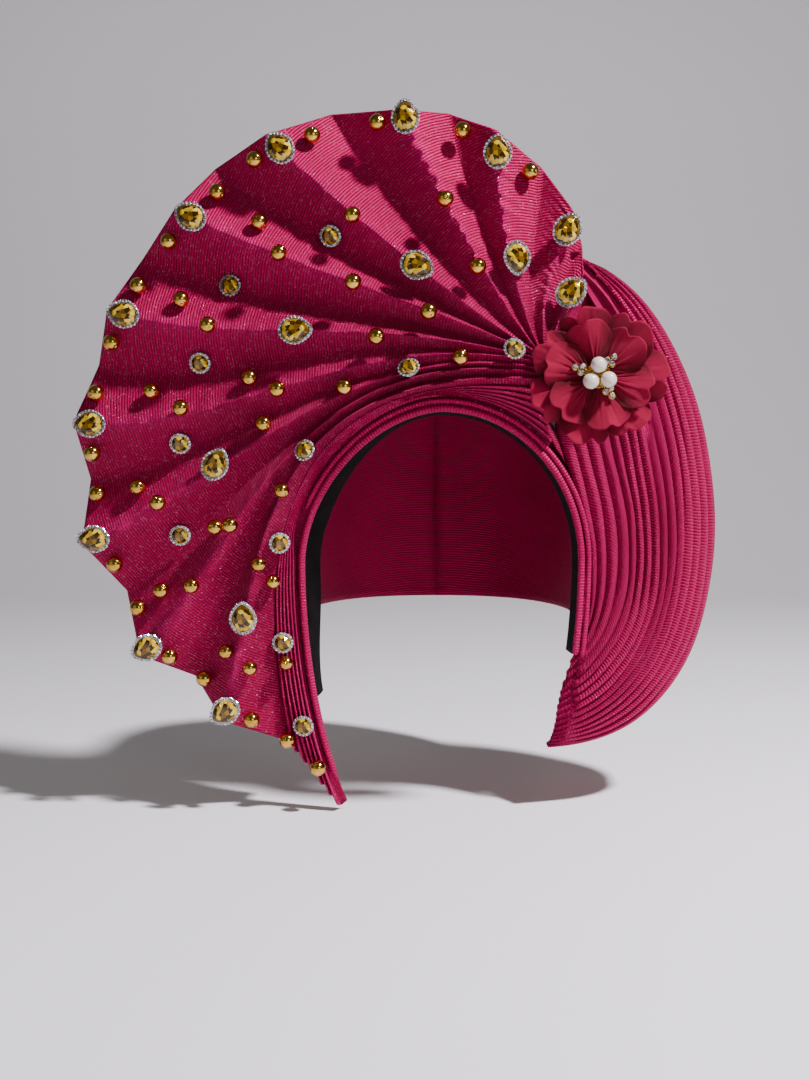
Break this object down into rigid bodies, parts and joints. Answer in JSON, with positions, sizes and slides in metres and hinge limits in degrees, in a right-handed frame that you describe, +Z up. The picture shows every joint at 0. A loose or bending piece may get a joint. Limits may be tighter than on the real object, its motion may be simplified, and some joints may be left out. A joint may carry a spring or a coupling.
{
  "type": "tied gele head tie",
  "caption": "Ready-tied gele of ribbed magenta cloth: a wide pleated fan, narrow folds round the face, a side wing, a chiffon flower with a pearl brooch, gold beads and amber stones.",
  "frame": {"origin": "where the crown of the head touches the inside of the cap", "axes": "+Z up, -Y the way the face looks, +X to the viewer's right"},
  "size_m": [0.3416, 0.2169, 0.3651],
  "materials": {
    "ribbed_cloth": "stiff ribbed cloth with a metallic sheen",
    "black_band": "matt black woven band",
    "chiffon": "gathered chiffon",
    "polished_gold": "polished gold plate",
    "amber_glass": "cut amber glass in a silver halo of small clear stones",
    "pearl": "ivory pearl lustre"
  },
  "bodies": {
    "root": {"fan": "ribbed_cloth", "forehead_folds": "ribbed_cloth", "face_roll": "ribbed_cloth", "brow_roll": "ribbed_cloth", "side_wing": "ribbed_cloth", "crown_cap": "ribbed_cloth", "inner_band": "black_band", "gather_knot": "ribbed_cloth", "flower_back_petals": "chiffon", "flower_front_petals": "chiffon", "brooch_base": "polished_gold", "pearl_1": "pearl", "pearl_2": "pearl", "pearl_3": "pearl", "stone_1": "amber_glass", "stone_2": "amber_glass", "stone_3": "amber_glass", "stone_4": "amber_glass", "stone_5": "amber_glass", "stone_6": "amber_glass", "stone_7": "amber_glass", "stone_8": "amber_glass", "stone_9": "amber_glass", "stone_10": "amber_glass", "stone_11": "amber_glass", "stone_12": "amber_glass", "stone_13": "amber_glass", "stone_14": "amber_glass", "stone_15": "amber_glass", "stone_16": "amber_glass", "round_stone_1": "amber_glass", "round_stone_2": "amber_glass", "round_stone_3": "amber_glass", "round_stone_4": "amber_glass", "round_stone_5": "amber_glass", "round_stone_6": "amber_glass", "round_stone_7": "amber_glass", "round_stone_8": "amber_glass", "round_stone_9": "amber_glass", "round_stone_10": "amber_glass", "round_stone_11": "amber_glass", "rim_bead_1": "polished_gold", "rim_bead_2": "polished_gold", "rim_bead_3": "polished_gold", "rim_bead_4": "polished_gold", "rim_bead_5": "polished_gold", "rim_bead_6": "polished_gold", "rim_bead_7": "polished_gold", "rim_bead_8": "polished_gold", "rim_bead_9": "polished_gold", "rim_bead_10": "polished_gold", "rim_bead_11": "polished_gold", "rim_bead_12": "polished_gold", "rim_bead_13": "polished_gold", "rim_bead_14": "polished_gold", "rim_bead_15": "polished_gold", "rim_bead_16": "polished_gold", "rim_bead_17": "polished_gold", "rim_bead_18": "polished_gold", "rim_bead_19": "polished_gold"}
  },
  "joints": []
}
